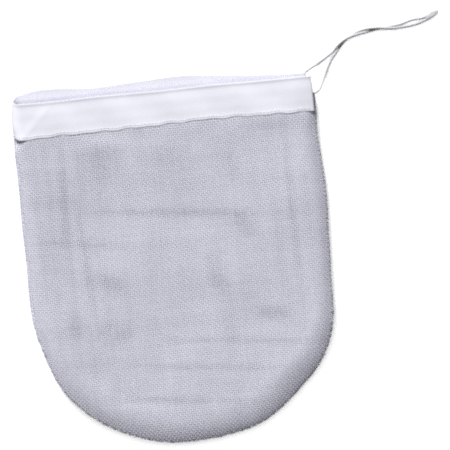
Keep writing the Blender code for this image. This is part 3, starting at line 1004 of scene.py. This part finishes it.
def make_hem(name, stations=400):
    along = np.linspace(0, HEM_LENGTH, stations)
    across, side = hem_section()
    grid_along, grid_across = np.meshgrid(along, across, indexing="ij")
    rings = hem_wall(grid_along, grid_across, side[None, :])
    count = len(across)
    index = np.arange(stations * count).reshape(stations, count)
    nxt = np.roll(index, -1, axis=1)
    quads = np.stack([index[:-1], nxt[:-1], nxt[1:], index[1:]], -1).reshape(-1, 4)
    u0 = np.repeat(along[:-1], count)
    u1 = np.repeat(along[1:], count)
    v0 = np.tile(np.arange(count) / count, stations - 1) * 2 * HEM_DEPTH
    v1 = v0 + 2 * HEM_DEPTH / count
    corners = np.stack([u0, v0, u0, v1, u1, v1, u1, v0], -1).reshape(-1, 4, 2)
    hem = mesh_piece(name, rings.reshape(-1, 3), quads, corners, None, hem_cloth)
    bpy.ops.object.select_all(action="DESELECT")
    bpy.context.view_layer.objects.active = hem
    hem.select_set(True)
    thicken = hem.modifiers.new("cloth", "SOLIDIFY")
    thicken.thickness = HEM_CLOTH
    thicken.offset = -1
    bpy.ops.object.modifier_apply(modifier=thicken.name)
    print(name, len(hem.data.polygons) * 2, "triangles")
    return hem


hem = make_hem("hem")
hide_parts("hem_casing")
gather(hem)

# %% [markdown]
# ## Sewing
# A line of machine stitches is a row of short thread arcs that dip into the cloth at each
# end. The raw edges inside the bag are bound by an overlock, one thread that winds round both
# of them, and each end of the side seams is stopped by a bar of close stitches.

# %% Stitches and threads
def thread_tubes(name, lines, diameter, around, material):
    """One mesh of many thin threads, each along its own line of points."""
    points, quads, along = [], [], []
    start = 0
    for line in lines:
        line = np.asarray(line, float)
        ahead = np.gradient(line, axis=0)
        ahead /= np.linalg.norm(ahead, axis=1)[:, None]
        guide = np.array((0.0, 0.0, 1.0))
        if abs(ahead[:, 2]).max() > 0.9:
            guide = np.array((0.31, 0.95, 0.05))
        side = np.cross(ahead, guide)
        side /= np.linalg.norm(side, axis=1)[:, None]
        up = np.cross(side, ahead)
        angle = 2 * np.pi * np.arange(around) / around
        ring = line[:, None] + diameter / 2 * (
            np.cos(angle)[None, :, None] * side[:, None] + np.sin(angle)[None, :, None] * up[:, None]
        )
        index = np.arange(len(line) * around).reshape(len(line), around)
        nxt = np.roll(index, -1, axis=1)
        body = np.stack([index[:-1], index[1:], nxt[1:], nxt[:-1]], -1).reshape(-1, 4)
        caps = cap_quads(index)
        travelled = np.concatenate([[0], np.cumsum(np.linalg.norm(np.diff(line, axis=0), axis=1))])
        u0, u1 = np.repeat(travelled[:-1], around), np.repeat(travelled[1:], around)
        v0 = np.tile(np.arange(around) / around, len(line) - 1)
        v1 = v0 + 1 / around
        along.append(np.stack([u0, v0, u1, v0, u1, v1, u0, v1], -1).reshape(-1, 4, 2))
        along.append(np.zeros((len(caps), 4, 2)))
        points.append(ring.reshape(-1, 3))
        quads.append(np.concatenate([body, caps]) + start)
        start += len(line) * around
    piece = mesh_piece(
        name, np.concatenate(points), np.concatenate(quads), np.concatenate(along), None, material
    )
    print(name, len(lines), "threads,", len(piece.data.polygons) * 2, "triangles")
    return piece


def stitch(start, end, up):
    """One stitch from start to end, standing proud by up and dipping in at both ends."""
    shares = np.array([0.0, 0.12, 0.5, 0.88, 1.0])
    lifts = np.array([-0.9, 0.3, 0.75, 0.3, -0.9])
    start, end, up = (np.asarray(value, float) for value in (start, end, up))
    return start + (end - start) * shares[:, None] + up * lifts[:, None]


# %% Sew the hem down
HEM_THREAD = 0.45 * MM
STITCH_PITCH = 3.1 * MM
STITCH_LENGTH = 2.5 * MM
ROW_MARGIN = 4 * MM


def hem_row(name, node, first, last):
    """Stitches along the hem's sewn edge on both of its faces."""
    lines = []
    for along in np.arange(first, last - STITCH_LENGTH, STITCH_PITCH):
        for side in (1, -1):
            ends = []
            for place in (along, along + STITCH_LENGTH):
                ends.append(hem_wall(np.array(place), np.array(STITCH_ACROSS), side))
            middle = hem_point(along, STITCH_ACROSS, 0.0)
            outwards = hem_point(along, STITCH_ACROSS, side * HEM_HALF) - middle
            outwards /= np.linalg.norm(outwards)
            lines.append(stitch(ends[0], ends[1], outwards * HEM_THREAD * 0.25))
    row = thread_tubes(name, lines, HEM_THREAD, 6, sewing_thread)
    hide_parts(node)
    gather(row)
    return row


hem_row("front_hem_stitches", "front_hem_stitching", ROW_MARGIN, FRONT_RUN + TURN_LENGTH / 2)
hem_row("rear_hem_stitches", "rear_hem_stitching", FRONT_RUN + TURN_LENGTH / 2, HEM_LENGTH - ROW_MARGIN)

# %% Bind the raw edges
def seam_path(inset, top, spacing):
    """Points along the seam line, moved in by inset, from the top right to the top left."""
    used = OUTLINE[OUTLINE[:, 1] <= top]
    step = np.gradient(used, axis=0)
    step /= np.linalg.norm(step, axis=1)[:, None]
    inner = used + np.stack([step[:, 1], -step[:, 0]], -1) * inset
    gone = np.concatenate([[0], np.cumsum(np.linalg.norm(np.diff(inner, axis=0), axis=1))])
    wanted = np.arange(0, gone[-1], spacing)
    line = np.stack([np.interp(wanted, gone, inner[:, k]) for k in (0, 1)], -1)
    across = np.stack([np.interp(wanted, gone, step[:, k]) for k in (1, 0)], -1) * np.array([1, -1])
    dx, dy = outline_waver(line[:, 0], line[:, 1])
    return line + np.stack([dx, dy], -1), across


OVERLOCK_THREAD = 0.35 * MM
OVERLOCK_PITCH = 2.3 * MM
OVERLOCK_INSET = 3.6 * MM
OVERLOCK_REACH = 2.1 * MM
OVERLOCK_RISE = 1.25 * MM
SEAM_TOP = HEM_LOW_Y - 2.5 * MM


def overlock_line(per_turn=8):
    """One thread that winds round both raw edges."""
    path, inwards = seam_path(OVERLOCK_INSET, SEAM_TOP, OVERLOCK_PITCH / per_turn)
    turn = 2 * np.pi * np.arange(len(path)) / per_turn
    reach = OVERLOCK_REACH * np.sign(np.cos(turn)) * np.abs(np.cos(turn)) ** 0.6
    height = OVERLOCK_RISE * np.sign(np.sin(turn)) * np.abs(np.sin(turn)) ** 0.8
    plan = path + inwards * reach[:, None]
    return np.column_stack([plan, SEAM_Z + height])


overlock = thread_tubes(
    "overlock", [overlock_line()], OVERLOCK_THREAD, 6, sewing_thread
)
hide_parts("seam_overlock")
gather(overlock)

# %% Join the panels
SEAM_THREAD = 0.4 * MM
SEAM_INSET = 1.1 * MM
SEAM_STITCH = 1.3 * MM
SEAM_LIFT = 0.2 * MM


def seam_stitches():
    """The lockstitch that joins the two panels, close inside the edge."""
    path, _ = seam_path(SEAM_INSET, SEAM_TOP, SEAM_STITCH)
    lines = []
    for first, last in zip(path[::2], path[1::2]):
        for side in (1, -1):
            z = SEAM_Z + side * (SEAM_HALF_GAP + THREAD_THICKNESS)
            lines.append(stitch((*first, z), (*last, z), (0, 0, side * SEAM_LIFT)))
    return lines


seam = thread_tubes("seam_stitches", seam_stitches(), SEAM_THREAD, 6, sewing_thread)
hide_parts("seam_stitching")
gather(seam)

# %% Stop the side seams with bar tacks
TACK_THREAD = 0.72 * MM
TACK_WIDTH = 1.5 * MM


def make_tack(name, node, loops=9):
    """A bar tack is a row of tight thread loops: flattened rings, joined into one piece."""
    low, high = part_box(node)
    centre = (low + high) / 2
    size = high - low
    pitch = size.x / loops
    rings = []
    for loop in range(loops):
        bpy.ops.object.select_all(action="DESELECT")
        x = low.x + pitch * (loop + 0.5)
        bpy.ops.mesh.primitive_torus_add(
            location=(x, centre.y, centre.z), rotation=(0, math.pi / 2, 0.16),
            major_radius=size.z / 2, minor_radius=TACK_THREAD / 2, major_segments=18, minor_segments=6,
        )
        ring = bpy.context.active_object
        ring.scale = (1.0, TACK_WIDTH / size.z, 1.0)
        bpy.ops.object.transform_apply(location=True, rotation=True, scale=True)
        rings.append(ring)
    bpy.ops.object.select_all(action="DESELECT")
    for ring in rings:
        ring.select_set(True)
    bpy.context.view_layer.objects.active = rings[0]
    bpy.ops.object.join()
    tack = bpy.context.active_object
    tack.name = name
    bpy.ops.object.shade_smooth()
    tack.data.materials.append(bar_thread)
    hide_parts(node)
    gather(tack)
    print(name, len(tack.data.polygons), "faces")
    return tack


bar_thread = matt_material("bar_thread", (0.84, 0.84, 0.90), (0.76, 0.76, 0.82))
make_tack("slit_tack", "slit_bar_tack")
make_tack("left_tack", "left_bar_tack")

# %% [markdown]
# ## The cord inside the hem
# The cord goes all the way round the mouth inside the tunnel. It is hidden at rest, and it
# comes out of the slit when the drawstring is pulled.

# %% Run the cord through the hem
FROM_FRONT_END = 5 * MM
FROM_REAR_END = 21 * MM
FRONT_ROOT_REACH = 1.2 * MM
REAR_ROOT_REACH = 4 * CORD


def leg_root(route, reach):
    """Two points straight behind a leg's exit, so that the hidden cord meets the leg in line."""
    start = Vector(route[0])
    back = (start - Vector(route[1])).normalized()
    return [start + back * CORD_JOINT_GAP, start + back * reach]


def cased_line():
    """The cord's route inside the hem, along the middle of the tunnel."""
    along = np.linspace(FROM_FRONT_END, HEM_LENGTH - FROM_REAR_END, 90)
    inside = hem_point(along, 0.05, 0.0)
    front_root = leg_root(FRONT_LEG_ROUTE, FRONT_ROOT_REACH)
    rear_root = leg_root(REAR_LEG_ROUTE, REAR_ROOT_REACH)
    return [*front_root, *inside, *reversed(rear_root)]


cased = cord_mesh(
    "drawstring_cased", cased_line(), CORD, cord_yarn, spacing=1.1 * MM, around=12
)
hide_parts("drawstring_in_hem")
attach(cased, "drawstring")
